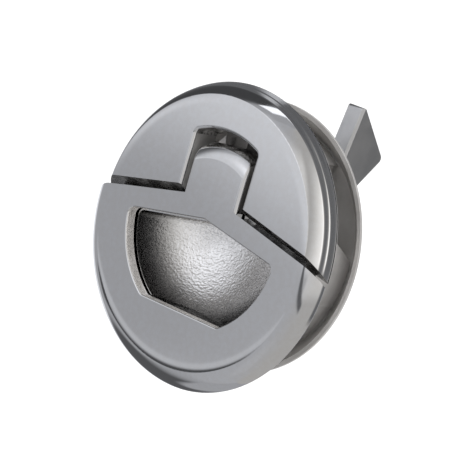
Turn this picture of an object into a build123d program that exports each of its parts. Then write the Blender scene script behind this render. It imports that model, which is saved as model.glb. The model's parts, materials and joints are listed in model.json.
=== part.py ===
from build123d import *
import math
import os

# Round flush slam latch for a panel with a round hole.
# Millimetres. The origin is on the trim's axis, in the plane of the panel's outer face.
# +Y runs back through the panel, +Z is up, and the polished face looks along -Y.

# Panel hole and the body that passes through it
panel_hole_radius = 25.4
body_hole_clearance = 0.5
body_length = 13.0
body_wall = 2.2
body_pad = 3.4

# Round trim, seen from the front
trim_depth = 7.0
trim_overlap = 5.3
trim_rim_stand = 1.05
trim_flare = 3.1
trim_rim_setback = 5.5
trim_flare_bulge = 0.45
trim_edge_round = 0.35

# Split line between the fixed upper plate and the pull handle
split_apex = 7.52
split_droop = 11.8
split_gap = 1.85
split_slant = 31.8

# Notch in the fixed plate and the handle's tab that fills it
notch_half_width = 9.0
notch_top_radius = 21.3
notch_corner_radius = 1.2
notch_edge_round = 0.7
notch_floor = 6.0
tab_side_clearance = 1.3
tab_end_radius = 18.8
tab_end_round = 3.8
tab_end_cut = 0.25
tab_corner_radius = 3.6
tab_side_round = 0.9
tab_depth = 5.5
tab_root = 10.0

# Pull handle
handle_drop = 1.0
handle_plate = 2.4
handle_skirt_clearance = 0.6
handle_skirt_wall = 3.8
handle_rim_stand = 1.5
handle_flare = 4.15
handle_rim_setback = 3.4
handle_rim_depth = 4.8
handle_edge_round = 0.4
handle_flare_bulge = 0.75

# Finger window in the handle
window_apex = 2.3
window_droop = 9.9
window_radius = 21.2
window_bottom = 17.95
window_corner_radius = 1.6
window_edge_round = 0.35

# Finger dish behind the window
flange_overlap = 1.8
flange_gap = 0.5
dish_inset = 0.4
dish_depth = 12.0
dish_wall = 2.0
dish_crease_radius = 1.6

# Openings in the sides of the body, through which the hinge pin goes in
side_opening_top = 20.2
side_opening_back = 2.2
side_opening_slope = 0.667
side_opening_inner = 13.4

# Hinge of the handle
hinge_y = 1.7
hinge_z = 13.5
hinge_pin_radius = 1.5
hinge_pin_fit = 0.02
bush_running_clearance = 0.05
bush_wall = 0.65
bush_flange_radius = 2.9
bush_flange = 0.5
bush_gap = 0.4
hub_half_width = 4.0
hub_wall = 1.6
hub_web_step = 0.5
ear_width = 4.0
ear_radius = 3.7
pin_groove_radius = 1.1
pin_groove_width = 0.6
pin_groove_gap = 0.3
pin_end = 0.7
clip_pocket_clearance = 0.5
clip_radius = 2.8
clip_thickness = 0.5
clip_fit = 0.05
clip_mouth = 1.9

# Tail of the handle, which presses the bolt down
tail_length = 18.2
tail_half_width = 2.0
tail_root_half = 3.1
tail_end_half = 1.4
nose_radius = 2.0
nose_clearance = 0.2

# Latch bolt, cut from plate
bolt_thickness = 4.5
bolt_side_clearance = 0.1
bolt_tip = (31.93, 31.95)
bolt_heel = (43.1, 20.8)
bolt_belly = (37.4, 14.5)
bolt_catch_foot = (30.2, 21.6)
bolt_tip_radius = 0.6
bolt_heel_radius = 1.2
bolt_edge_chamfer = 0.55
stem_front = 29.0
stem_back = 37.0
stem_leg = 2.0
stem_bottom = -15.0
stem_foot_end = 15.9
stem_foot_depth = 5.8
spring_window_top = 6.5
stop_pin_z = -10.5
stop_pin_radius = 1.25
stop_clearance = 0.3

# Bolt guide, cast, with a round flange
guide_flange_radius = 14.5
guide_flange = 2.5
guide_cheek = 3.4
guide_stem_clearance = 0.1
guide_bottom = -15.4
guide_rear_top = 2.0
guide_mouth_top = 14.0
guide_front_wall = 3.0
guide_floor_top = -4.5
guide_floor = 4.5
guide_web_run = 2.0
guide_web_drop = 3.0
cover_thickness = 2.2
cover_corner = 1.0
cover_hole_clearance = 0.1
tail_slot_bottom = 4.2
tail_slot_top = 16.8
tail_slot_clearance = 0.6

# Springs
spring_wire = 0.28
bolt_spring_radius = 1.6
bolt_spring_turns = 9
spring_end_clearance = 0.05
saddle_thickness = 0.8
saddle_end_clearance = 0.2
saddle_side_clearance = 0.1
saddle_pin_fit = 0.02
handle_spring_wire = 0.4
handle_spring_turns = 3
handle_spring_coil_gap = 0.1
handle_spring_clearance = 0.35
handle_spring_leg_share = 0.6

# Clamp dish behind the panel
clamp_floor_clearance = 0.1
clamp_cone_run = 3.35
clamp_rim_land = 1.0
clamp_sheet = 1.2
clamp_lip = 0.6
clamp_draw = 0.4
clamp_panel_gap = 9.6
clamp_floor_gap = 0.6
clamp_hole_clearance = 0.7

# Screws
guide_screw_x = 8.8
guide_screw_z = 7.0
guide_screw_reach = 5.0
clamp_screw_x = 7.0
clamp_screw_z = 18.7
clamp_lower_screw_z = -20.0
clamp_boss_gap = 0.15
screw_boss_floor = 1.0
screw_radius = 1.45
screw_hole_radius = 1.5
screw_pass_radius = 1.7
screw_head_radius = 2.6
screw_head_height = 1.9
screw_boss_wall = 1.7
washer_radius = 2.7
washer_thickness = 0.6
recess_width = 0.7
recess_depth = 1.1
cover_screw_radius = 0.95
cover_screw_fit = 0.03
cover_screw_head_radius = 1.8
cover_screw_reach = 2.6
cover_screw_inset = 2.6
slot_screw_recess = 0.45
screw_end_clearance = 0.4
recess_share = 0.55

# Sizes worked out from the ones above
face_y = -trim_depth
body_radius = panel_hole_radius - body_hole_clearance
body_inner_radius = body_radius - body_wall
pad_front = body_length - body_pad
trim_seat_radius = panel_hole_radius + trim_overlap
trim_rim_radius = trim_seat_radius + trim_rim_stand
trim_face_radius = trim_rim_radius - trim_flare
tab_half_width = notch_half_width - tab_side_clearance
flange_radius = panel_hole_radius + flange_overlap
flange_front = face_y + handle_plate + flange_gap
skirt_radius = flange_radius + handle_skirt_clearance
handle_back_radius = skirt_radius + handle_skirt_wall
handle_rim_radius = handle_back_radius + handle_rim_stand
handle_face_radius = handle_rim_radius - handle_flare
dish_radius = window_radius - dish_inset
dish_sphere_radius = (dish_radius ** 2 + dish_depth ** 2) / (2 * dish_depth)
dish_centre_y = flange_front + dish_depth - dish_sphere_radius
pin_hole_radius = hinge_pin_radius + hinge_pin_fit
bush_bore_radius = hinge_pin_radius + bush_running_clearance
bush_radius = bush_bore_radius + bush_wall
hub_radius = bush_radius + hub_wall
nose_y = hinge_y + tail_length
foot_top = hinge_z - nose_radius - nose_clearance
bolt_half = bolt_thickness / 2
catch_lean = (bolt_tip[0] - bolt_catch_foot[0]) / (bolt_tip[1] - bolt_catch_foot[1])
catch_bottom = bolt_catch_foot[1] - (bolt_catch_foot[0] - stem_front) / catch_lean
slot_half = bolt_half + bolt_side_clearance
guide_half = slot_half + guide_cheek
guide_back = stem_back
flange_back = body_length + guide_flange
ear_outer = notch_half_width + ear_width
groove_inner = ear_outer + pin_groove_gap
pin_half_length = groove_inner + pin_groove_width + pin_end
clamp_floor_front = body_length + clamp_floor_gap
clamp_floor_back = clamp_floor_front + clamp_sheet
clamp_hole_radius = guide_flange_radius + clamp_hole_clearance
clamp_floor_radius = body_radius + clamp_floor_clearance
clamp_rim_radius = clamp_floor_radius + clamp_cone_run + clamp_rim_land
handle_spring_leg = handle_spring_leg_share * (body_inner_radius - hinge_z)
handle_spring_back = hinge_y + hinge_pin_radius + handle_spring_clearance + 2 * handle_spring_wire
clamp_screw_reach = body_length - handle_spring_back - clamp_boss_gap - screw_boss_floor
boss_radius = screw_hole_radius + screw_boss_wall
window_spring_front = stem_front + stem_leg
window_spring_back = stem_back - stem_leg
spring_y = (stem_front + stem_back) / 2
spring_seat_z = stop_pin_z + stop_pin_radius + saddle_thickness
far = 60.0


def outline_slab(outline, front, back):
    """A flat outline in the X-Z plane, made solid from y = front to y = back."""
    placed = Pos(0, front, 0) * (Plane.XZ * outline)
    return extrude(placed, amount=-(back - front))


def side_slab(outline, half_width, centre_x=0.0):
    """A flat outline in the Y-Z plane, made solid to both sides of x = centre_x."""
    placed = Pos(centre_x, 0, 0) * (Plane.YZ * outline)
    return extrude(placed, amount=half_width, both=True)


def rod_y(radius, front, back, x=0.0, z=0.0):
    """A round rod along Y."""
    return outline_slab(Pos(x, z) * Circle(radius), front, back)


def rod_x(radius, left, right, y, z):
    """A round rod along X."""
    middle = (left + right) / 2
    return side_slab(Pos(y, z) * Circle(radius), (right - left) / 2, middle)


def bulged(start, end, bulge):
    """An arc between two points that stands off its chord to the right of the way it runs."""
    across = end[0] - start[0]
    along = end[1] - start[1]
    length = math.hypot(across, along)
    middle = ((start[0] + end[0]) / 2 + bulge * along / length,
              (start[1] + end[1]) / 2 - bulge * across / length)
    return ThreePointArc(start, middle, end)


def droop_line(apex, angle, drop, x):
    """Height at x of a roof line that falls away to both sides."""
    return apex - abs(x) * math.tan(math.radians(angle)) - drop


def above_roof(apex, angle, slant, front, back):
    """The space above an inverted V in the face, which sinks towards the back."""
    faces = []
    for y in (front, back):
        drop = (y - face_y) * math.tan(math.radians(slant))
        side = droop_line(apex, angle, drop, far)
        roof = Polygon((-far, far), (-far, side), (0, apex - drop), (far, side), (far, far), align=None)
        faces.append(Pos(0, y, 0) * (Plane.XZ * roof))
    return loft(faces, ruled=True)


def below_roof_outline(apex, angle, bottom, radius, corner):
    """Round outline with a roofed top and a straight foot, its corners rounded."""
    side = droop_line(apex, angle, 0, far)
    roof = Polygon((-far, -bottom), (far, -bottom), (far, side), (0, apex), (-far, side), align=None)
    outline = roof & Circle(radius)
    corners = [v for v in outline.vertices() if abs(v.X) > 1]
    return fillet(corners, corner)


def in_face(edge, radius):
    """Whether an edge lies in the polished face and within a radius of the axis."""
    reach = max(math.hypot(v.X, v.Z) for v in edge.vertices())
    return abs(edge.center().Y - face_y) < 0.01 and reach < radius + 0.1


def trim_solid():
    """The whole round trim, turned, before it is split."""
    rim_y = face_y + trim_rim_setback
    with BuildSketch() as profile:
        with BuildLine():
            Line((0, face_y), (trim_face_radius, face_y))
            bulged((trim_face_radius, face_y), (trim_rim_radius, rim_y), trim_flare_bulge)
            bulged((trim_rim_radius, rim_y), (trim_seat_radius, 0), trim_flare_bulge / 2)
            Line((trim_seat_radius, 0), (0, 0))
            Line((0, 0), (0, face_y))
        make_face()
        edge = profile.vertices().sort_by(lambda v: abs(v.X - trim_face_radius) + abs(v.Y - face_y))[0]
        fillet(edge, trim_edge_round)
    return revolve(profile.sketch, Axis.Y)


def notch_outline(bottom):
    """Plan of the notch in the fixed plate, down to a given height."""
    strip = Pos(0, (bottom + far) / 2) * Rectangle(2 * notch_half_width, far - bottom)
    outline = strip & Circle(notch_top_radius)
    top = [v for v in outline.vertices() if v.Y > bottom + 1]
    return fillet(top, notch_corner_radius)


def dish_form(extra, front):
    """The finger dish as a solid from y = front back, grown by extra all round."""
    outline = below_roof_outline(window_apex - dish_inset + extra, window_droop,
                                 window_bottom + extra, dish_radius + extra, window_corner_radius + extra)
    shaft = outline_slab(outline, front, body_length)
    ball = Pos(0, dish_centre_y, 0) * Sphere(dish_sphere_radius + extra)
    return shaft & ball


def dish_hollow():
    """The finger dish as it is cut, with its creases softened."""
    hollow = dish_form(0, flange_front - 1)
    creases = [e for e in hollow.edges()
               if e.center().Y > flange_front + 0.6 and e.length > 3 * dish_crease_radius]
    return fillet(creases, dish_crease_radius)


def side_opening():
    """Space cut through the body's wall on both sides, for the hinge pin."""
    rise = side_opening_slope * (body_length + 1)
    profile = Polygon((0, side_opening_back + side_opening_slope * body_length),
                      (body_length + 1, side_opening_back + side_opening_slope * body_length - rise),
                      (body_length + 1, side_opening_top), (0, side_opening_top), align=None)
    length = (far - side_opening_inner) / 2
    middle = (far + side_opening_inner) / 2
    return side_slab(profile, length, middle) + side_slab(profile, length, -middle)


def screw_boss(x, z, front):
    """A round boss that ends at the back of the body."""
    return rod_y(boss_radius, front, body_length, x, z)


def guide_screw_places():
    """The four screws that hold the bolt guide."""
    return [(sx * guide_screw_x, sz * guide_screw_z) for sx in (-1, 1) for sz in (-1, 1)]


def clamp_screw_places():
    """The three screws that draw the clamp dish forward."""
    return [(-clamp_screw_x, clamp_screw_z), (clamp_screw_x, clamp_screw_z), (0, clamp_lower_screw_z)]


def tail_slot(half_width, front, back):
    """Upright slot through which the handle's tail passes back to the bolt."""
    opening = Rectangle(2 * half_width, tail_slot_top - tail_slot_bottom)
    return outline_slab(Pos(0, (tail_slot_bottom + tail_slot_top) / 2) * opening, front, back)


def hinge_ear(side):
    """One of the two ears behind the fixed plate that carry the hinge pin."""
    reach = hinge_y + 1
    block = Pos(hinge_y - reach / 2, hinge_z) * Rectangle(reach, 2 * ear_radius)
    profile = block + Pos(hinge_y, hinge_z) * Circle(ear_radius)
    return side_slab(profile, ear_width / 2, side * (notch_half_width + ear_width / 2))


def make_housing():
    """The casting: fixed upper plate, flange, finger dish and body."""
    fixed_plate = trim_solid() & above_roof(split_apex + split_gap, split_droop, split_slant, face_y - 1, 1)
    fixed_plate -= outline_slab(notch_outline(notch_floor), face_y - 1, 0.01)
    brink = [e for e in fixed_plate.edges() if in_face(e, notch_top_radius)]
    fixed_plate = fillet(brink, notch_edge_round)
    flange = rod_y(flange_radius, flange_front, 0)
    tube = rod_y(body_radius, -0.5, body_length) - rod_y(body_inner_radius, -1, body_length + 1)
    pad = rod_y(guide_flange_radius, pad_front, body_length)
    link = outline_slab(Pos(0, body_inner_radius / 2) * Rectangle(
        2 * clamp_screw_x, body_inner_radius), pad_front, body_length)
    ribs = outline_slab(Pos(0, -guide_screw_z) * Rectangle(
        2 * body_radius - body_wall, body_wall), body_length / 2, body_length)
    spine = outline_slab(Pos(0, -body_inner_radius / 2) * Rectangle(
        body_wall, body_inner_radius), body_length / 2, body_length)
    shell = fixed_plate + flange + tube + pad + link + ribs + spine + dish_form(dish_wall, flange_front)
    for x, z in clamp_screw_places():
        boss = screw_boss(x, z, body_length - clamp_screw_reach - screw_boss_floor)
        shell += boss & rod_y(body_radius, -1, far)
    for x, z in guide_screw_places():
        shell += screw_boss(x, z, body_length - guide_screw_reach - screw_boss_floor)
    for side in (-1, 1):
        shell += hinge_ear(side)
    shell -= side_opening()
    shell -= outline_slab(notch_outline(notch_floor), face_y - 1, 0.01)
    shell -= tail_slot(slot_half + tail_slot_clearance, 1, body_length + 1)
    shell -= dish_hollow()
    for x, z in guide_screw_places():
        depth = guide_screw_reach + screw_end_clearance
        shell -= rod_y(screw_hole_radius, body_length - depth, body_length + 1, x, z)
    for x, z in clamp_screw_places():
        depth = clamp_screw_reach + screw_end_clearance
        shell -= rod_y(screw_hole_radius, body_length - depth, body_length + 1, x, z)
    for side in (-1, 1):
        ends = sorted((side * ear_outer, side * (pin_half_length + clip_pocket_clearance)))
        shell -= rod_x(clip_radius + clip_pocket_clearance, ends[0], ends[1], hinge_y, hinge_z)
    return shell - rod_x(pin_hole_radius, -ear_outer, ear_outer, hinge_y, hinge_z)


def handle_blank():
    """The handle's round plate with its flared rim and hollow back, turned."""
    rim_y = face_y + handle_rim_setback
    back_y = face_y + handle_rim_depth
    plate_y = face_y + handle_plate
    with BuildSketch() as profile:
        with BuildLine():
            Line((0, face_y), (handle_face_radius, face_y))
            bulged((handle_face_radius, face_y), (handle_rim_radius, rim_y), handle_flare_bulge)
            bulged((handle_rim_radius, rim_y), (handle_back_radius, back_y), handle_flare_bulge / 3)
            Line((handle_back_radius, back_y), (skirt_radius, back_y))
            Line((skirt_radius, back_y), (skirt_radius, plate_y))
            Line((skirt_radius, plate_y), (0, plate_y))
            Line((0, plate_y), (0, face_y))
        make_face()
        edge = profile.vertices().sort_by(lambda v: abs(v.X - handle_face_radius) + abs(v.Y - face_y))[0]
        fillet(edge, handle_edge_round)
    return Pos(0, 0, -handle_drop) * revolve(profile.sketch, Axis.Y)


def tab_end():
    """The tab up to its rolled end, which is concentric with the trim, its sides and corners rounded."""
    with BuildSketch() as profile:
        Rectangle(tab_end_radius, tab_depth, align=(Align.MIN, Align.MIN))
        outer = profile.vertices().sort_by(lambda v: v.Y - v.X)[0]
        fillet(outer, tab_end_round)
    roll = Pos(0, face_y, 0) * revolve(profile.sketch, Axis.Y)
    strip = Pos(0, far / 2 + tab_root) * Rectangle(2 * tab_half_width, far)
    plan = strip & Circle(tab_end_radius - tab_end_cut)
    top = [v for v in plan.vertices() if v.Y > tab_root + 1]
    tab = roll & outline_slab(fillet(top, tab_corner_radius), face_y - 1, 1)
    crease = [e for e in tab.edges() if on_tab_crease(e)]
    return fillet(crease, tab_side_round)


def on_tab_crease(edge):
    """Whether an edge of the rolled end lies between its rolled face and the wall round it."""
    middle = edge.center()
    on_roll = edge.geom_type == GeomType.BSPLINE
    on_end = abs(middle.X) < 0.01 and middle.Z > tab_end_radius - 1 and middle.Y < face_y + tab_end_round
    return on_roll or on_end or on_tab_side(edge)


def on_tab_side(edge):
    """Whether an edge runs up one side of the tab's face."""
    return abs(edge.center().Y - face_y) < 0.01 and abs(abs(edge.center().X) - tab_half_width) < 0.01


def tab_neck():
    """The flat neck between the handle's plate and the rolled end."""
    height = tab_root + 0.5 - (split_apex - 4)
    middle = split_apex - 4 + height / 2
    neck = outline_slab(Pos(0, middle) * Rectangle(2 * tab_half_width, height), face_y, face_y + handle_plate)
    return fillet([e for e in neck.edges() if on_tab_side(e)], tab_side_round)


def handle_tail():
    """Hub round the hinge and the tail that runs back to the bolt."""
    hub = rod_x(hub_radius, -hub_half_width, hub_half_width, hinge_y, hinge_z)
    web_depth = hinge_y - (face_y + tab_depth) + 1
    web = side_slab(Pos(hinge_y - web_depth / 2, hinge_z) * Rectangle(
        web_depth, 2 * (hub_radius - hub_web_step)), hub_half_width)
    bar = Polygon((hinge_y, hinge_z - tail_root_half), (nose_y, hinge_z - tail_end_half),
                  (nose_y, hinge_z + tail_end_half), (hinge_y, hinge_z + tail_root_half), align=None)
    tail = side_slab(bar + Pos(nose_y, hinge_z) * Circle(nose_radius), tail_half_width)
    return hub + web + tail


def make_handle():
    """The cast pull handle: plate, window, tab, hub and tail in one."""
    plate = handle_blank() - above_roof(split_apex, split_droop, split_slant, face_y - 1, 1)
    window = below_roof_outline(window_apex, window_droop, window_bottom, window_radius, window_corner_radius)
    plate -= outline_slab(window, face_y - 1, 0)
    plate = fillet([e for e in plate.edges() if in_face(e, window_radius)], window_edge_round)
    handle = plate + tab_neck() + tab_end() + handle_tail()
    return handle - rod_x(bush_radius, -far, far, hinge_y, hinge_z)


def make_hinge_pin():
    """Hinge pin with a groove near each end."""
    pin = rod_x(hinge_pin_radius, -pin_half_length, pin_half_length, hinge_y, hinge_z)
    for side in (-1, 1):
        ends = sorted((side * groove_inner, side * (groove_inner + pin_groove_width)))
        groove = rod_x(hinge_pin_radius + 1, ends[0], ends[1], hinge_y, hinge_z)
        pin -= groove - rod_x(pin_groove_radius, ends[0], ends[1], hinge_y, hinge_z)
    return pin


def make_pin_clips():
    """Two open retaining rings in the pin's grooves."""
    clips = []
    for side in (-1, 1):
        start = side * (groove_inner + (pin_groove_width - clip_thickness) / 2)
        ends = sorted((start, start + side * clip_thickness))
        ring = rod_x(clip_radius, ends[0], ends[1], hinge_y, hinge_z)
        ring -= rod_x(pin_groove_radius + clip_fit, ends[0], ends[1], hinge_y, hinge_z)
        mouth = Pos(hinge_y + clip_radius / 2, hinge_z) * Rectangle(clip_radius, clip_mouth)
        ring -= side_slab(mouth, clip_thickness, (ends[0] + ends[1]) / 2)
        clips.append(ring)
    return Compound(children=clips)


def make_hub_bushes():
    """Two flanged plastic bushes, one in each side of the handle's hub."""
    bushes = []
    for side in (-1, 1):
        inner = sorted((side * bush_gap / 2, side * hub_half_width))
        outer = sorted((side * hub_half_width, side * (hub_half_width + bush_flange)))
        bush = rod_x(bush_radius, inner[0], inner[1], hinge_y, hinge_z)
        bush += rod_x(bush_flange_radius, outer[0], outer[1], hinge_y, hinge_z)
        bush -= rod_x(bush_bore_radius, min(inner[0], outer[0]), max(inner[1], outer[1]), hinge_y, hinge_z)
        bushes.append(bush)
    return Compound(children=bushes)


def make_handle_spring(side):
    """Torsion spring on the hinge pin: a coil with a leg on the dish roof and one behind the tab."""
    coil_radius = hinge_pin_radius + handle_spring_clearance + handle_spring_wire
    pitch = 2 * handle_spring_wire + handle_spring_coil_gap
    length = handle_spring_turns * pitch
    start = hub_half_width + bush_flange + handle_spring_wire + handle_spring_coil_gap
    coil = Helix(pitch, length, coil_radius)
    wire_end = RegularPolygon(handle_spring_wire, 6)
    wire = sweep(Plane(coil @ 0, z_dir=coil % 0) * wire_end, path=coil)
    leg_down = extrude(Plane(coil @ 0, z_dir=(0, -1, 0)) * wire_end, amount=handle_spring_leg)
    leg_up = extrude(Plane(coil @ 1, z_dir=(0, 1, 0)) * wire_end, amount=handle_spring_leg)
    spring = wire + leg_down + leg_up
    turned = Rot(0, 90, 0) * (Rot(0, 0, 90) * spring)
    if side > 0:
        return Pos(start, hinge_y, hinge_z) * turned
    return Pos(-start, hinge_y, hinge_z) * mirror(turned, Plane.YZ)


def bolt_outline():
    """Side view of the bolt: bevelled head, upright stem and the foot that the tail presses."""
    slope = (bolt_heel[1] - bolt_belly[1]) / (bolt_heel[0] - bolt_belly[0])
    back_z = bolt_belly[1] - slope * (bolt_belly[0] - stem_back)
    body = Polygon(bolt_tip, bolt_heel, (stem_back, back_z), (stem_back, stem_bottom),
                   (stem_front, stem_bottom), (stem_front, foot_top - stem_foot_depth),
                   (stem_foot_end, foot_top - stem_foot_depth), (stem_foot_end, foot_top),
                   (stem_front, foot_top), (stem_front, catch_bottom), align=None)
    body = fillet(nearest_corner(body, bolt_tip), bolt_tip_radius)
    body = fillet(nearest_corner(body, bolt_heel), bolt_heel_radius)
    window_bottom_z = stop_pin_z - stop_pin_radius - stop_clearance
    window_height = spring_window_top - window_bottom_z
    window = Pos(spring_y, window_bottom_z + window_height / 2) * Rectangle(
        window_spring_back - window_spring_front, window_height)
    return body - window


def nearest_corner(outline, point):
    """The corner of a flat outline that is nearest to a point."""
    return outline.vertices().sort_by(lambda v: math.hypot(v.X - point[0], v.Y - point[1]))[0]


def make_latch_bolt():
    """The latch bolt: a plate whose catch faces the panel and whose back is bevelled to slam."""
    bolt = side_slab(bolt_outline(), bolt_half)
    across = Plane(origin=(0, stem_front, catch_bottom), x_dir=(1, 0, 0), z_dir=(0, catch_lean, 1))
    for side in (-1, 1):
        corner = Polygon((side * bolt_half, bolt_edge_chamfer), (side * (bolt_half - bolt_edge_chamfer), 0),
                         (side * (bolt_half - bolt_edge_chamfer), -1), (side * (bolt_half + 1), -1),
                         (side * (bolt_half + 1), bolt_edge_chamfer), align=None)
        bolt -= extrude(across * corner, amount=far / 2)
    return bolt


def guide_profile():
    """Side view of the bolt guide's cheeks."""
    front_wall = stem_front - guide_stem_clearance - guide_front_wall
    floor_bottom = guide_floor_top - guide_floor
    return Polygon((body_length, guide_mouth_top), (stem_front + 1, guide_mouth_top / 2 + 1),
                   (guide_back, guide_rear_top), (guide_back, guide_bottom), (front_wall, guide_bottom),
                   (front_wall, floor_bottom - guide_web_drop), (front_wall - guide_web_run, floor_bottom),
                   (body_length, floor_bottom), align=None)


def guide_channel():
    """The space between the cheeks: an upright way for the stem, and room in front for the foot."""
    stem_front_wall = stem_front - guide_stem_clearance
    stem_way = Polygon((stem_front_wall, guide_bottom - 1), (guide_back + 1, guide_bottom - 1),
                       (guide_back + 1, far), (stem_front_wall, far), align=None)
    foot_way = Polygon((flange_back, guide_floor_top), (stem_front, guide_floor_top), (stem_front, far),
                       (flange_back, far), align=None)
    return side_slab(stem_way + foot_way, slot_half)


def cover_screw_places():
    """The four small screws that hold the guide's cover, as x and z."""
    across = slot_half + guide_cheek / 2
    high = guide_rear_top - cover_screw_inset
    low = guide_bottom + cover_screw_inset
    return [(side * across, z) for side in (-1, 1) for z in (high, low)]


def make_bolt_guide():
    """Cast guide: round flange, two cheeks and the wall in front of the stem."""
    guide = side_slab(guide_profile(), guide_half) + rod_y(guide_flange_radius, body_length, flange_back)
    guide -= guide_channel()
    guide -= tail_slot(slot_half, body_length - 1, flange_back + 1)
    for x, z in guide_screw_places():
        guide -= rod_y(screw_pass_radius, body_length - 1, flange_back + 1, x, z)
    for x, z in cover_screw_places():
        guide -= rod_y(cover_screw_radius + cover_screw_fit, guide_back - cover_screw_reach,
                       guide_back + 1, x, z)
    return guide - rod_x(stop_pin_radius, -far, far, spring_y, stop_pin_z)


def make_guide_cover():
    """Flat cover on the back of the guide, with four countersunk holes."""
    height = guide_rear_top - guide_bottom
    plate = outline_slab(Pos(0, guide_bottom + height / 2) * RectangleRounded(
        2 * guide_half, height, cover_corner), guide_back, guide_back + cover_thickness)
    for x, z in cover_screw_places():
        plate -= rod_y(cover_screw_radius + cover_hole_clearance, guide_back - 1, far, x, z)
        plate -= countersink(x, z, cover_hole_clearance / 2)
    return plate


def countersink(x, z, clearance):
    """Cone of a small countersunk head, flush with the cover's back."""
    depth = cover_screw_head_radius - cover_screw_radius
    back = guide_back + cover_thickness
    cone = Rot(-90, 0, 0) * Cone(cover_screw_radius + clearance, cover_screw_head_radius + clearance, depth)
    return Pos(x, back - depth / 2, z) * cone


def make_cover_screws():
    """Four small countersunk screws with straight slots."""
    screws = []
    back = guide_back + cover_thickness
    for x, z in cover_screw_places():
        screw = rod_y(cover_screw_radius, guide_back - cover_screw_reach + screw_end_clearance, back, x, z)
        screw += countersink(x, z, 0)
        screw -= outline_slab(Pos(x, z) * Rectangle(2 * cover_screw_head_radius, slot_screw_recess),
                              back - slot_screw_recess, back + 1)
        screws.append(screw)
    return Compound(children=screws)


def make_stop_pin():
    """Dowel across the guide: it carries the bolt's spring and stops the bolt's rise."""
    return rod_x(stop_pin_radius, -guide_half, guide_half, spring_y, stop_pin_z)


def make_spring_saddle():
    """Small seat between the stop pin and the spring, hollowed to sit on the pin."""
    half_depth = (window_spring_back - window_spring_front) / 2 - saddle_end_clearance
    block = Pos(spring_y, spring_seat_z - saddle_thickness) * Rectangle(
        2 * half_depth, 2 * saddle_thickness)
    saddle = side_slab(block, bolt_half - saddle_side_clearance)
    return saddle - rod_x(stop_pin_radius + saddle_pin_fit, -far, far, spring_y, stop_pin_z)


def make_bolt_spring():
    """Compression spring in the bolt's window."""
    low = spring_seat_z + spring_wire + spring_end_clearance
    length = spring_window_top - spring_wire - spring_end_clearance - low
    coil = Helix(length / bolt_spring_turns, length, bolt_spring_radius)
    seat = Plane(coil @ 0, z_dir=coil % 0)
    return Pos(0, spring_y, low) * sweep(seat * RegularPolygon(spring_wire, 6), path=coil)


def make_clamp_dish():
    """Pressed dish whose rim bears on the back of the panel."""
    rim = clamp_rim_radius
    land = rim - clamp_rim_land
    gap = clamp_panel_gap
    front = clamp_floor_front
    back = clamp_floor_back
    with BuildSketch() as profile:
        with BuildLine():
            Polyline((clamp_hole_radius, front), (clamp_floor_radius, front), (land, gap), (rim, gap),
                     (rim, gap + clamp_lip), (land + clamp_draw / 2, gap + clamp_lip),
                     (clamp_floor_radius + clamp_draw, back), (clamp_hole_radius, back),
                     (clamp_hole_radius, front))
        make_face()
    dish = revolve(profile.sketch, Axis.Y)
    dish -= tail_slot(slot_half + tail_slot_clearance, front - 1, back + 1)
    for x, z in clamp_screw_places():
        dish -= rod_y(screw_pass_radius, front - 1, back + 1, x, z)
    return dish


def cross_recess(x, z, head_top):
    """Cross-shaped recess in a screw's head."""
    bar = Rectangle(2 * screw_head_radius * recess_share, recess_width)
    cross = Pos(x, z) * (bar + Rot(0, 0, 90) * bar)
    return outline_slab(cross, head_top - recess_depth, head_top + 1)


def pan_screw(x, z, seat, reach):
    """Pan-head screw along Y, its head behind the seat."""
    head_top = seat + screw_head_height
    head = rod_y(screw_head_radius, seat, head_top, x, z)
    rim = head.edges().filter_by(GeomType.CIRCLE).sort_by(Axis.Y)[-1]
    head = fillet(rim, screw_head_height / 2)
    return head + rod_y(screw_radius, seat - reach, seat, x, z) - cross_recess(x, z, head_top)


def ring_washer(x, z, front):
    """Flat washer."""
    return rod_y(washer_radius, front, front + washer_thickness, x, z) - rod_y(
        screw_pass_radius, front - 1, front + washer_thickness + 1, x, z)


def make_guide_screws():
    """Four screws through the guide's flange."""
    seat = flange_back + washer_thickness
    reach = seat - body_length + guide_screw_reach
    return Compound(children=[pan_screw(x, z, seat, reach) for x, z in guide_screw_places()])


def make_guide_washers():
    """Washers under the guide's screws."""
    return Compound(children=[ring_washer(x, z, flange_back) for x, z in guide_screw_places()])


def make_clamp_screws():
    """Three screws that draw the clamp dish forward."""
    seat = clamp_floor_back + washer_thickness
    reach = seat - body_length + clamp_screw_reach
    return Compound(children=[pan_screw(x, z, seat, reach) for x, z in clamp_screw_places()])


def make_clamp_washers():
    """Washers under the clamp dish's screws."""
    return Compound(children=[ring_washer(x, z, clamp_floor_back) for x, z in clamp_screw_places()])


parts = {
    "housing": make_housing(),
    "pull_handle": make_handle(),
    "hinge_pin": make_hinge_pin(),
    "pin_clips": make_pin_clips(),
    "hub_bushes": make_hub_bushes(),
    "handle_spring_left": make_handle_spring(-1),
    "handle_spring_right": make_handle_spring(1),
    "bolt_guide": make_bolt_guide(),
    "guide_screws": make_guide_screws(),
    "guide_washers": make_guide_washers(),
    "guide_cover": make_guide_cover(),
    "cover_screws": make_cover_screws(),
    "latch_bolt": make_latch_bolt(),
    "bolt_spring": make_bolt_spring(),
    "spring_saddle": make_spring_saddle(),
    "stop_pin": make_stop_pin(),
    "clamp_dish": make_clamp_dish(),
    "clamp_screws": make_clamp_screws(),
    "clamp_washers": make_clamp_washers(),
}

os.makedirs("parts", exist_ok=True)
for name, part in parts.items():
    export_step(part, f"parts/{name}.step")
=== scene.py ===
import json
import math

import bpy
from mathutils import Matrix, Vector


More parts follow.
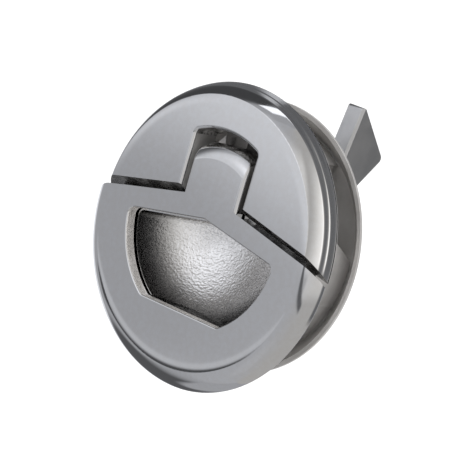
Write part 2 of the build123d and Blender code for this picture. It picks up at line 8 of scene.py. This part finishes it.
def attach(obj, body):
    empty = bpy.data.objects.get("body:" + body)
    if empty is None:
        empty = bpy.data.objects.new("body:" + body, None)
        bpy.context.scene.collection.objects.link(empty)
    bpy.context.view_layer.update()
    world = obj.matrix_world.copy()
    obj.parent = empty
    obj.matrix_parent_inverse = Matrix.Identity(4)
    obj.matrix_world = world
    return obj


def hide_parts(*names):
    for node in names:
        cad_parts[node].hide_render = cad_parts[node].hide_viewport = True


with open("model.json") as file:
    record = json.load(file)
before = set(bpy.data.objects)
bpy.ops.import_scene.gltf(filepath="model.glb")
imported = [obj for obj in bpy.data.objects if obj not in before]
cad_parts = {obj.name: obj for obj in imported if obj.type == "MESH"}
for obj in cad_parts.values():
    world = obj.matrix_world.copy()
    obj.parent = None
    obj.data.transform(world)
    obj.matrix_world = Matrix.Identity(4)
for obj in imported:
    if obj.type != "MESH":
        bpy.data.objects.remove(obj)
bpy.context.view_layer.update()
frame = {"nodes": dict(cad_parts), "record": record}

bodies = frame["record"]["behaviour"]["bodies"]
body_of_node = {node: body for body, nodes in bodies.items() for node in nodes}
slot_of_node = {part["node"]: part["material_slot"] for part in frame["record"]["subparts"]}

MM = 0.001
DEGREES = math.degrees(1.0)
WHITE = (1.0, 1.0, 1.0, 1.0)

# Sizes of the front, in millimetres as in the source. The front faces -y, and the trim's axis is x = z = 0.

FACE_Y = -7.0
TRIM_AXIS_Z = 0.0
TRIM_FACE_RADIUS = 28.65
TRIM_RIM_RADIUS = 31.75
TRIM_RIM_Y = -1.5
TRIM_BACK_RADIUS = 30.7
TRIM_BACK_Y = 0.0
TRIM_EDGE_ROUND = 0.35
HANDLE_AXIS_Z = -1.0
HANDLE_FACE_RADIUS = 28.95
HANDLE_RIM_RADIUS = 33.1
HANDLE_RIM_Y = -3.6
HANDLE_BACK_RADIUS = 31.6
HANDLE_BACK_Y = -2.2
HANDLE_EDGE_ROUND = 0.4
TAB_ROLL_RADIUS = 3.8
TAB_ROLL_OUT = 15.0
FLANGE_RADIUS = 27.25
DISH_CENTRE = Vector((0, -16.127, 0))
DISH_RADIUS = 24.027
DISH_MOUTH_Y = -4.3


# Materials

class Wire:
    """A shader value that can be used in sums and products, as a number can."""

    def __init__(self, nodes, socket):
        self.nodes = nodes
        self.socket = socket

    def work(self, operation, first, second=0.0):
        return self.nodes.make("ShaderNodeMath", {"operation": operation}, {0: first, 1: second})

    def __add__(self, other):
        return self.work("ADD", self, other)

    def __radd__(self, other):
        return self.work("ADD", other, self)

    def __sub__(self, other):
        return self.work("SUBTRACT", self, other)

    def __rsub__(self, other):
        return self.work("SUBTRACT", other, self)

    def __mul__(self, other):
        return self.work("MULTIPLY", self, other)

    def __truediv__(self, other):
        return self.work("DIVIDE", self, other)

    def __pow__(self, other):
        return self.work("POWER", self, other)

    def held(self, low, high):
        """The value, or the nearer of two bounds where it lies past one."""
        return self.work("MINIMUM", self.work("MAXIMUM", self, low), high)

    def step(self, low, high):
        """0 below low, 1 above high, smooth between."""
        return self.nodes.make("ShaderNodeMapRange", {"interpolation_type": "SMOOTHSTEP"},
                               {"Value": self, "From Min": low, "From Max": high})

    def drop(self, low, high):
        """1 below low, 0 above high, smooth between."""
        return 1.0 - self.step(low, high)

    def between(self, low, high, soft):
        """1 from low to high and 0 outside, fading over soft on both sides of each end."""
        return self.step(low - soft, low + soft) * self.drop(high - soft, high + soft)


class Nodes:
    """The nodes of a material or of the world, and the one method that adds one."""

    def __init__(self, owner):
        owner.use_nodes = True
        self.tree = owner.node_tree
        self.tree.nodes.clear()

    def make(self, kind, settings=None, sockets=None, out=0):
        node = self.tree.nodes.new(kind)
        for key, value in (settings or {}).items():
            setattr(node, key, value)
        for key, value in (sockets or {}).items():
            if isinstance(value, Wire):
                self.tree.links.new(value.socket, node.inputs[key])
            else:
                node.inputs[key].default_value = value
        return Wire(self, node.outputs[out]) if node.outputs else None


class Finish(Nodes):
    """A material, with the steps that several finishes share."""

    def __init__(self, name):
        self.material = bpy.data.materials.new(name)
        super().__init__(self.material)
        self.place = self.make("ShaderNodeTexCoord", out="Object")

    def axes(self, vector, names):
        """The components of a vector that the letters in names ask for."""
        return [self.make("ShaderNodeSeparateXYZ", sockets={0: vector}, out=name) for name in names]

    def radius(self, axis_z=0.0):
        """Distance in millimetres from the axis along y at the height axis_z."""
        across, upward = self.axes(self.place, "XZ")
        upward = upward - axis_z * MM
        return (across * across + upward * upward) ** 0.5 / MM

    def noise(self, scale, detail=3.0, rough=0.5, stretch=None):
        where = self.place
        if stretch:
            where = self.make("ShaderNodeMapping", sockets={"Vector": where, "Scale": stretch})
        return self.make("ShaderNodeTexNoise", sockets={
            "Vector": where, "Scale": scale, "Detail": detail, "Roughness": rough})

    def blend(self, factor, first, second):
        return self.make("ShaderNodeMix", {"data_type": "RGBA"}, {0: factor, 6: first, 7: second}, out=2)

    def bump(self, height, strength, distance, over=None):
        """A normal bent by a height, over another bent normal if one is given."""
        sockets = {"Height": height, "Strength": strength, "Distance": distance}
        if over:
            sockets["Normal"] = over
        return self.make("ShaderNodeBump", sockets=sockets)

    def surface(self, **sockets):
        """Ends the material in a Principled shader with these sockets."""
        return self.end(self.make("ShaderNodeBsdfPrincipled", sockets={
            key.replace("_", " "): value for key, value in sockets.items()}))

    def end(self, shader):
        self.make("ShaderNodeOutputMaterial", sockets={"Surface": shader})
        return self.material


def grey(level, warm=0.0):
    """A grey colour, a little warm or, when below zero, a little blue."""
    return (level * (1 + warm), level, level * (1 - warm), 1.0)


def polished_steel(name, axis_z, face_radius):
    """Mirror-polished stainless steel with a faint polishing haze. Buffing has rounded the flat face a
    little over the last millimetres before its edge."""
    buffed_width = 2.4
    buffed_fall = 0.006
    finish = Finish(name)
    haze = finish.noise(scale=900.0, detail=4.0)
    wave = finish.noise(scale=45.0, detail=2.0)
    colour = finish.blend(haze.step(0.35, 0.7), grey(0.67, warm=0.004), grey(0.69, warm=-0.006))
    buffed_from = face_radius - buffed_width
    run = finish.radius(axis_z).held(buffed_from, face_radius) - buffed_from
    fall = run * run * run * -buffed_fall
    smooth = finish.bump(wave + haze * 0.02, strength=0.01, distance=0.0004)
    return finish.surface(Base_Color=colour, Metallic=1.0, Roughness=0.05 + haze * 0.03,
                          Normal=finish.bump(fall, strength=1.0, distance=MM, over=smooth))


def satin_casting():
    """Blasted casting in the finger dish, with an orange-peel skin and a grey that runs in random patches.
    Out towards the mouth, in the deep corner behind the plate, the grey is painted nearly black as painted
    shade."""
    shade_starts = 14.5
    shade_full = 21.2
    uneven = 1.5
    finish = Finish("satin_casting")
    grain = finish.noise(scale=1900.0, detail=2.0)
    patch = finish.noise(scale=220.0)
    patchy_grey = finish.blend(patch.step(0.3, 0.7), grey(0.78, warm=0.008), grey(0.88, warm=0.004))
    # Painted shade: the colour turns nearly black towards the dish's mouth, in the deep corner behind the
    # plate.
    corner = (finish.radius() + patch * uneven).step(shade_starts, shade_full)
    colour = finish.blend(corner, patchy_grey, grey(0.06, warm=0.01))
    return finish.surface(Base_Color=colour, Metallic=1.0, Roughness=0.14 + grain * 0.12,
                          Normal=finish.bump(grain, strength=0.55, distance=0.00028))


def rough_casting():
    """The unpolished outside of the body and the guide."""
    finish = Finish("rough_casting")
    grain = finish.noise(scale=900.0, detail=5.0, rough=0.65)
    patch = finish.noise(scale=120.0)
    colour = finish.blend(patch.step(0.3, 0.72), grey(0.42, warm=0.03), grey(0.58, warm=0.02))
    return finish.surface(Base_Color=colour, Metallic=0.45, Roughness=0.30 + grain * 0.18,
                          Normal=finish.bump(grain, strength=0.4, distance=0.0002))


def cast_wall(name, low, high):
    """A wall of the window, the notch or the split, dressed but not polished. Its grey runs in patches
    from low to high; the notch and split copies are given darker greys as painted shade."""
    finish = Finish(name)
    grain = finish.noise(scale=1300.0, detail=4.0, rough=0.6)
    patch = finish.noise(scale=330.0)
    colour = finish.blend(patch.step(0.42, 0.66), grey(low, warm=0.04), grey(high, warm=0.025))
    return finish.surface(Base_Color=colour, Metallic=0.6, Roughness=0.18 + grain * 0.2,
                          Normal=finish.bump(grain + patch * 0.8, strength=0.3, distance=0.0003))


def ground_bolt():
    """Ground steel of the latch bolt, its grain along the height."""
    finish = Finish("ground_bolt")
    lines = finish.noise(scale=500.0, detail=4.0, rough=0.6, stretch=(3.0, 3.0, 0.25))
    cloud = finish.noise(scale=140.0)
    colour = finish.blend(cloud.step(0.3, 0.7), grey(0.50, warm=-0.01), grey(0.60))
    return finish.surface(Base_Color=colour, Metallic=1.0, Roughness=0.30 + lines * 0.15,
                          Normal=finish.bump(lines, strength=0.18, distance=0.0002))


def pressed_sheet():
    """Drawn sheet steel of the clamp dish, a little dulled."""
    finish = Finish("pressed_sheet")
    cloud = finish.noise(scale=130.0, detail=4.0)
    grain = finish.noise(scale=1100.0)
    colour = finish.blend(cloud.step(0.3, 0.72), grey(0.50, warm=0.03), grey(0.62, warm=0.018))
    return finish.surface(Base_Color=colour, Metallic=0.45, Roughness=0.26 + grain * 0.14,
                          Normal=finish.bump(grain + cloud, strength=0.18, distance=0.0002))


def turned_steel():
    """Bright fasteners and pins."""
    finish = Finish("turned_steel")
    lines = finish.noise(scale=900.0)
    colour = finish.blend(lines.step(0.3, 0.7), grey(0.55), grey(0.66))
    return finish.surface(Base_Color=colour, Metallic=1.0, Roughness=0.22 + lines * 0.12,
                          Normal=finish.bump(lines, strength=0.12, distance=0.0001))


def spring_wire():
    """Drawn spring wire."""
    finish = Finish("spring_wire")
    lines = finish.noise(scale=1500.0)
    colour = finish.blend(lines.step(0.3, 0.7), grey(0.40), grey(0.52))
    return finish.surface(Base_Color=colour, Metallic=1.0, Roughness=0.28 + lines * 0.12,
                          Normal=finish.bump(lines, strength=0.1, distance=0.0001))


def dark_acetal():
    """Moulded bush and saddle."""
    finish = Finish("dark_acetal")
    cloud = finish.noise(scale=700.0)
    colour = finish.blend(cloud.step(0.3, 0.7), grey(0.025), grey(0.045))
    return finish.surface(Base_Color=colour, Metallic=0.0, Roughness=0.42 + cloud * 0.15,
                          Normal=finish.bump(cloud, strength=0.1, distance=0.0001))


# The record's slots come under their own names, and the finishes of single places under the place's name.
finishes = {
    "polished_steel": polished_steel("polished_steel", TRIM_AXIS_Z, TRIM_FACE_RADIUS),
    "polished_handle": polished_steel("polished_handle", HANDLE_AXIS_Z, HANDLE_FACE_RADIUS),
    "satin_casting": satin_casting(),
    "rough_casting": rough_casting(),
    "window_wall": cast_wall("window_wall", low=0.78, high=0.88),
    # The notch wall is a darker copy of the same wall finish: painted shade of the notch.
    "notch_wall_painted_shade": cast_wall("notch_wall_painted_shade", low=0.16, high=0.55),
    # The split wall is a nearly black copy of the same wall finish: painted shade of the narrow split.
    "split_wall_painted_shade": cast_wall("split_wall_painted_shade", low=0.05, high=0.18),
    "bolt_steel": ground_bolt(),
    "cast_steel": rough_casting(),
    "sheet_steel": pressed_sheet(),
    "spring_steel": spring_wire(),
    "screw_steel": turned_steel(),
    "bush_plastic": dark_acetal(),
}


# Dressing of the nodes

def only(obj):
    """Selects one object alone and makes it active."""
    bpy.ops.object.select_all(action="DESELECT")
    obj.select_set(True)
    bpy.context.view_layer.objects.active = obj


def dressed(node, edge=0.0):
    """A copy of a node, its mesh merged, its sharp edges eased by edge millimetres and its curves shaded
    smooth. It stands for the node."""
    doubles_within = 1e-6
    flat_within = math.radians(0.2)
    sharp_from = math.radians(28.0)
    smooth_below = math.radians(24.0)
    only(frame["nodes"][node])
    bpy.ops.object.duplicate()
    piece = bpy.context.view_layer.objects.active
    piece.name = node + "_dressed"
    bpy.ops.object.mode_set(mode="EDIT")
    bpy.ops.mesh.select_all(action="SELECT")
    bpy.ops.mesh.remove_doubles(threshold=doubles_within)
    bpy.ops.mesh.dissolve_limited(angle_limit=flat_within)
    bpy.ops.object.mode_set(mode="OBJECT")
    if edge:
        rounding = piece.modifiers.new("eased_edges", "BEVEL")
        rounding.width = edge * MM
        rounding.segments = 2
        rounding.limit_method = "ANGLE"
        rounding.angle_limit = sharp_from
        rounding.use_clamp_overlap = True
        rounding.harden_normals = False
        bpy.ops.object.modifier_apply(modifier=rounding.name)
    bpy.ops.object.shade_smooth_by_angle(angle=smooth_below)
    even = piece.modifiers.new("even_shading", "WEIGHTED_NORMAL")
    even.keep_sharp = True
    even.weight = 90
    bpy.ops.object.modifier_apply(modifier=even.name)
    piece.data.materials.clear()
    piece.data.materials.append(finishes[slot_of_node[node]])
    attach(piece, body_of_node[node])
    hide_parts(node)
    return piece


def repaint(piece, finish, wanted):
    """Gives a finish to the faces of a piece for which wanted(centre, normal) holds."""
    piece.data.materials.append(finishes[finish])
    index = len(piece.data.materials) - 1
    for face in piece.data.polygons:
        if wanted(face.center / MM, face.normal):
            face.material_index = index


def out_from_axis(centre):
    """Distance of a face from the trim's axis."""
    return math.hypot(centre.x, centre.z)


def out_from_dish(centre):
    """Distance of a face from the centre of the ball that shapes the finger dish."""
    return (centre - DISH_CENTRE).length


def on_body_outside(centre, normal):
    """Whether a face lies behind the trim, or on the flange that the handle covers."""
    back_edge_y = -0.05
    flange_front_y = -4.2
    flange_inner_radius = 21.5
    flange_top_z = 8.0
    on_flange = flange_inner_radius < out_from_axis(centre) < FLANGE_RADIUS and centre.z < flange_top_z
    return centre.y > back_edge_y or (centre.y > flange_front_y and on_flange)


def on_split_wall(centre, normal):
    """Whether a face stands between the polished plate and the floor of the split or the notch."""
    edge_y, foot_y = -6.9, -0.05
    upright = 0.75
    reach = 27.6
    lowest_z = -14.0
    outside_dish = 24.4
    return (edge_y < centre.y < foot_y and abs(normal.y) < upright and out_from_axis(centre) < reach
            and centre.z > lowest_z and out_from_dish(centre) > outside_dish)


def on_notch_wall(centre, normal):
    """Whether a face is a wall or the floor of the notch."""
    half_width = 10.6
    foot_z = 7.0
    floor_y_front, floor_y_back = -1.6, -0.5
    facing_front = -0.75
    floor_reach = 22.5
    on_floor = (floor_y_front < centre.y < floor_y_back and normal.y < facing_front
                and out_from_axis(centre) < floor_reach)
    return abs(centre.x) < half_width and centre.z > foot_z and (on_split_wall(centre, normal) or on_floor)


def in_finger_dish(centre, normal):
    """Whether a face belongs to the hollow of the finger dish."""
    mouth_y, bottom_y = -4.09, 8.2
    reach = 21.0
    top_z = 2.2
    facing_back = 0.35
    inside_wall = 24.3
    return (mouth_y < centre.y < bottom_y and out_from_axis(centre) < reach and centre.z < top_z
            and normal.y < facing_back and out_from_dish(centre) < inside_wall)


def on_window_wall(centre, normal):
    """Whether a face of the handle is a wall of the finger window. It faces the window's middle."""
    edge_y = -6.8
    upright = 0.75
    top_z = 3.0
    reach = 22.0
    middle_z = -8.0
    inward = normal.x * centre.x + normal.z * (centre.z - middle_z) < 0
    return (edge_y < centre.y and abs(normal.y) < upright and centre.z < top_z
            and out_from_axis(centre) < reach and inward)


def arc_between(start, end, bulge):
    """Centre and radius, in the turned profile, of an arc that stands off its chord by bulge."""
    across, along = end[0] - start[0], end[1] - start[1]
    length = math.hypot(across, along)
    radius = (length * length / 4 + bulge * bulge) / (2 * bulge)
    back = radius - bulge
    return ((start[0] + end[0]) / 2 - back * along / length,
            (start[1] + end[1]) / 2 + back * across / length, radius)


def eased_corner(arc, ease):
    """Centre and radius of the small round between the flat face and an arc."""
    arc_out, arc_y, arc_radius = arc
    middle_y = FACE_Y + ease
    reach = math.sqrt((arc_radius - ease) ** 2 - (middle_y - arc_y) ** 2)
    return (arc_out + reach, middle_y, ease)


def form_normals(point, axis_z, arcs, dish):
    """The normal of each form that a point lies on: the flat face, the turned arcs and the dish."""
    flat_fit, arc_fit, dish_fit = 0.003, 0.012, 0.02
    up = point.z - axis_z
    out = max(math.hypot(point.x, up), 0.01)
    normals = []
    if abs(point.y - FACE_Y) < flat_fit:
        normals.append(Vector((0, -1, 0)))
    for arc_out, arc_y, arc_radius in arcs:
        aside, along = out - arc_out, point.y - arc_y
        if abs(math.hypot(aside, along) - arc_radius) < arc_fit:
            normals.append(Vector((point.x / out * aside, along, up / out * aside)).normalized())
    if dish and abs((point - DISH_CENTRE).length - DISH_RADIUS) < dish_fit:
        normals.append((DISH_CENTRE - point).normalized())
    return normals


def steeper(normal):
    """Leans a normal further from the front, the more so the further it leans already."""
    extra_lean = 20.0
    lean_start = 28.0
    side = max(math.hypot(normal.x, normal.z), 1e-6)
    lean = math.degrees(math.atan2(side, -normal.y))
    lean = math.radians(lean + extra_lean * max(0.0, (lean - lean_start) / lean_start) ** 2)
    return Vector((normal.x / side * math.sin(lean), -math.cos(lean), normal.z / side * math.sin(lean)))


def true_turned(piece, axis_z, arcs, dish=False):
    """Gives the turned surfaces and the flat face of a piece the exact normals of their form. On the
    piece with the dish, the normals behind the dish's mouth lean further aside, since the casting closes
    up on the plate there. That reaches the trim's rim and back edge as well as the dish."""
    same_way = 0.9
    mesh = piece.data
    normals = [Vector(corner.vector) for corner in mesh.corner_normals]
    for face in mesh.polygons:
        for loop in face.loop_indices:
            point = mesh.vertices[mesh.loops[loop].vertex_index].co / MM
            forms = form_normals(point, axis_z, arcs, dish)
            fitting = [form for form in forms if form.dot(face.normal) > same_way]
            if fitting:
                leans = dish and fitting[0] is forms[-1] and point.y > DISH_MOUTH_Y
                normals[loop] = steeper(fitting[0]) if leans else fitting[0]
    mesh.normals_split_custom_set(normals)


trim_face = (TRIM_FACE_RADIUS, FACE_Y)
trim_rim = (TRIM_RIM_RADIUS, TRIM_RIM_Y)
trim_flare = arc_between(trim_face, trim_rim, bulge=0.45)
trim_back = arc_between(trim_rim, (TRIM_BACK_RADIUS, TRIM_BACK_Y), bulge=0.225)
trim_edge = eased_corner(trim_flare, TRIM_EDGE_ROUND)
handle_face = (HANDLE_FACE_RADIUS, FACE_Y)
handle_rim = (HANDLE_RIM_RADIUS, HANDLE_RIM_Y)
handle_flare = arc_between(handle_face, handle_rim, bulge=0.75)
handle_back = arc_between(handle_rim, (HANDLE_BACK_RADIUS, HANDLE_BACK_Y), bulge=0.25)
handle_edge = eased_corner(handle_flare, HANDLE_EDGE_ROUND)
tab_roll = (TAB_ROLL_OUT, FACE_Y + TAB_ROLL_RADIUS, TAB_ROLL_RADIUS)

housing = dressed("housing", edge=0.18)
true_turned(housing, TRIM_AXIS_Z, [trim_flare, trim_back, trim_edge], dish=True)
repaint(housing, "rough_casting", on_body_outside)
# Painted shade: the split's walls get the nearly black copy of the wall finish.
repaint(housing, "split_wall_painted_shade", on_split_wall)
# Painted shade: the notch's walls and floor get the darker copy of the wall finish.
repaint(housing, "notch_wall_painted_shade", on_notch_wall)
repaint(housing, "satin_casting", in_finger_dish)

handle = dressed("pull_handle", edge=0.18)
handle.data.materials[0] = finishes["polished_handle"]
repaint(handle, "window_wall", on_window_wall)
true_turned(handle, HANDLE_AXIS_Z, [handle_flare, handle_back, handle_edge])
true_turned(handle, TRIM_AXIS_Z, [tab_roll])

dressed("latch_bolt", edge=0.15)
dressed("clamp_dish", edge=0.08)
for node in ("bolt_guide", "guide_cover", "guide_screws", "guide_washers", "cover_screws", "clamp_screws",
             "clamp_washers", "hinge_pin", "pin_clips", "hub_bushes", "stop_pin"):
    dressed(node, edge=0.04)
for node in ("spring_saddle", "bolt_spring", "handle_spring_left", "handle_spring_right"):
    dressed(node)


# Studio

def studio_tent():
    """A round tent that shows in the polished metal only. Seen from the latch it is grey in front and
    below, with a pale box in front, a bright panel on the right, a white strip overhead on the left
    and a dark room behind. Its zones go by turn, in degrees from straight ahead towards +x, and by
    rise, in degrees above the level. A later zone lies over the earlier ones."""
    bpy.ops.object.select_all(action="DESELECT")
    bpy.ops.mesh.primitive_uv_sphere_add(segments=96, ring_count=48, radius=0.95)
    tent = bpy.context.view_layer.objects.active
    tent.name = "studio_tent"
    finish = Finish("tent_cloth")
    outward = finish.make("ShaderNodeVectorMath", {"operation": "NORMALIZE"}, {0: finish.place})
    side, depth, height = finish.axes(outward, "XYZ")
    ahead = depth * -1.0
    turn = side.work("ARCTAN2", side, ahead) * DEGREES
    rise = height.work("ARCSINE", height) * DEGREES

    # The cloth, a little brighter from the box's left edge to the right
    level = 0.45 + turn.step(-41, -36) * 0.06

    def lay(mask, brightness):
        return level + (brightness - level) * mask

    # The pale box in front, and its brighter middle
    front_edge = rise + turn.step(-43, -36) * 2.0
    level = lay(turn.between(-52, 46, soft=8) * front_edge.step(-7.3, -3.2) * rise.drop(52, 76), 0.82)
    level = lay(turn.between(-32, 8, soft=14) * rise.between(14, 44, soft=12), 1.2)

    # The low wall on the right, and the bright panel over it
    level = lay(turn.between(14, 92, soft=6) * rise.between(-17, -1, soft=5), 0.72)
    panel = turn.step(48, 98) * turn.drop(103, 117)
    level = lay(panel * rise.step(-12, 3) * rise.drop(30, 76), 1.42)

    # The dark room, behind on the right and overhead
    level = lay(turn.step(108, 140) * rise.drop(54, 66) * rise.step(-30, -5), 0.19)
    overhead = rise.step(52, 62)
    level = lay(overhead * ahead.drop(-0.31, -0.21), 0.19 + side.step(0.05, 0.5) * 0.2)

    # The dark wall on the left, its near edge slanted, with a darker and a pale post
    left_edge = turn + (rise - 15.0) * 0.5
    dark_wall = left_edge.drop(-62, -46) * rise.between(1, 68, soft=4)
    level = lay(dark_wall, 0.16)
    level = lay(turn.between(-124, -76, soft=14) * dark_wall, 0.068)
    level = lay(turn.between(-147, -140, soft=2.5) * rise.between(10, 40, soft=5), 0.6)

    # The white strip overhead, slanted to the left
    across_strip = side * 0.86 + ahead * 0.51
    strip = across_strip.between(-0.33, -0.185, soft=0.012) * ahead.between(-0.27, 0.11, soft=0.012)
    level = lay(strip * overhead, 1.5)

    # Below on the left, a pale step over a dark floor
    level = lay(turn.between(-145, -97, soft=8) * rise.between(-29, -5, soft=3), 1.0)
    level = lay(turn.between(-142, -52, soft=12) * rise.between(-60, -30, soft=3.5), 0.115)

    # The dark streak under the box, a dark post low on the right, and a grey patch of floor in front
    streak = rise + (turn - 3.5) * 0.33
    level = lay(turn.between(-19, 30, soft=5) * streak.between(-15.8, -11.2, soft=1.2), 0.13)
    level = lay(turn.between(91, 115, soft=4) * rise.between(-33, -7, soft=4), 0.17)
    level = lay(turn.between(-16, 8, soft=5) * rise.between(-60, -30, soft=6), 0.54)

    # A pale and a dark line under the box, on the left
    level = lay(turn.between(-64, -26, soft=4) * rise.between(-16.5, -13, soft=0.8), 0.62)
    level = lay(turn.between(-72, -26, soft=4) * rise.between(-24, -18, soft=1.2), 0.09)

    # Bluish where it is bright on the right, a little warm elsewhere
    bluish = (0.985, 1.0, 1.055, 1.0)
    colour = finish.blend(turn.step(-30, 60) * level.step(0.1, 0.4), bluish, grey(1.0, warm=0.018))
    glow = finish.make("ShaderNodeEmission", sockets={"Color": colour, "Strength": level})
    tent.data.materials.append(finish.end(glow))
    tent.visible_camera = False
    tent.visible_diffuse = False
    tent.visible_shadow = False
    tent.visible_transmission = False


def soft_lamp(name, place, size, power):
    """A broad soft lamp aimed at the latch. The polished metal doesn't mirror it."""
    bpy.ops.object.light_add(type="AREA", location=place)
    lamp = bpy.context.view_layer.objects.active
    lamp.name = name
    lamp.data.shape = "RECTANGLE"
    lamp.data.size, lamp.data.size_y = size
    lamp.data.energy = power
    lamp.visible_glossy = False
    lamp.rotation_mode = "QUATERNION"
    lamp.rotation_quaternion = (-Vector(place)).to_track_quat("-Z", "Y")


def pale_floor(height):
    """A wide pale floor under the latch, a little bright of itself."""
    bpy.ops.object.select_all(action="DESELECT")
    bpy.ops.mesh.primitive_plane_add(size=12.0, location=(0, 0, 0))
    floor = bpy.context.view_layer.objects.active
    floor.name = "floor"
    floor.data.transform(Matrix.Translation((0, 0, height)))
    finish = Finish("pale_floor")
    speck = finish.noise(scale=40.0)
    colour = finish.blend(speck, grey(0.93), grey(0.95))
    floor.data.materials.append(finish.surface(Base_Color=colour, Roughness=0.8,
                                               Emission_Color=WHITE, Emission_Strength=0.2))
    floor.visible_glossy = False


def white_sky():
    """A plain white world."""
    world = bpy.data.worlds.new("studio")
    bpy.context.scene.world = world
    sky = Nodes(world)
    glow = sky.make("ShaderNodeBackground", sockets={"Color": WHITE})
    sky.make("ShaderNodeOutputWorld", sockets={"Surface": glow})


def photo_camera():
    """The camera, placed as the photograph's was. It turns by azimuth from the front towards +x."""
    azimuth = math.radians(39.84)
    elevation = math.radians(8.35)
    roll = math.radians(16.15)
    distance = 0.600
    aim_right, aim_up, aim_back = 0.00608, -0.00007, 0.007
    pixels_per_mm = 4.78
    image_width = 460
    sensor_width = 36.0

    back = Vector((math.sin(azimuth) * math.cos(elevation), -math.cos(azimuth) * math.cos(elevation),
                   math.sin(elevation)))
    level_right = (-back).cross(Vector((0, 0, 1))).normalized()
    level_up = level_right.cross(-back)
    right = math.cos(roll) * level_right + math.sin(roll) * level_up
    up = -math.sin(roll) * level_right + math.cos(roll) * level_up
    spot = back * distance + right * aim_right + up * aim_up - Vector((0, aim_back, 0))

    bpy.ops.object.camera_add()
    camera = bpy.context.view_layer.objects.active
    camera.name = "photo_camera"
    camera.data.sensor_width = sensor_width
    camera.data.lens = pixels_per_mm * distance / MM / image_width * sensor_width
    camera.data.clip_start = 0.01
    camera.data.clip_end = 50.0
    camera.matrix_world = Matrix((
        (right.x, up.x, back.x, spot.x),
        (right.y, up.y, back.y, spot.y),
        (right.z, up.z, back.z, spot.z),
        (0, 0, 0, 1)))
    bpy.context.scene.camera = camera


studio_tent()
soft_lamp("overhead", place=(0.15, -0.25, 0.8), size=(0.5, 0.5), power=3.0)
pale_floor(height=-0.16)
white_sky()
photo_camera()
bpy.context.scene.view_settings.view_transform = "Standard"
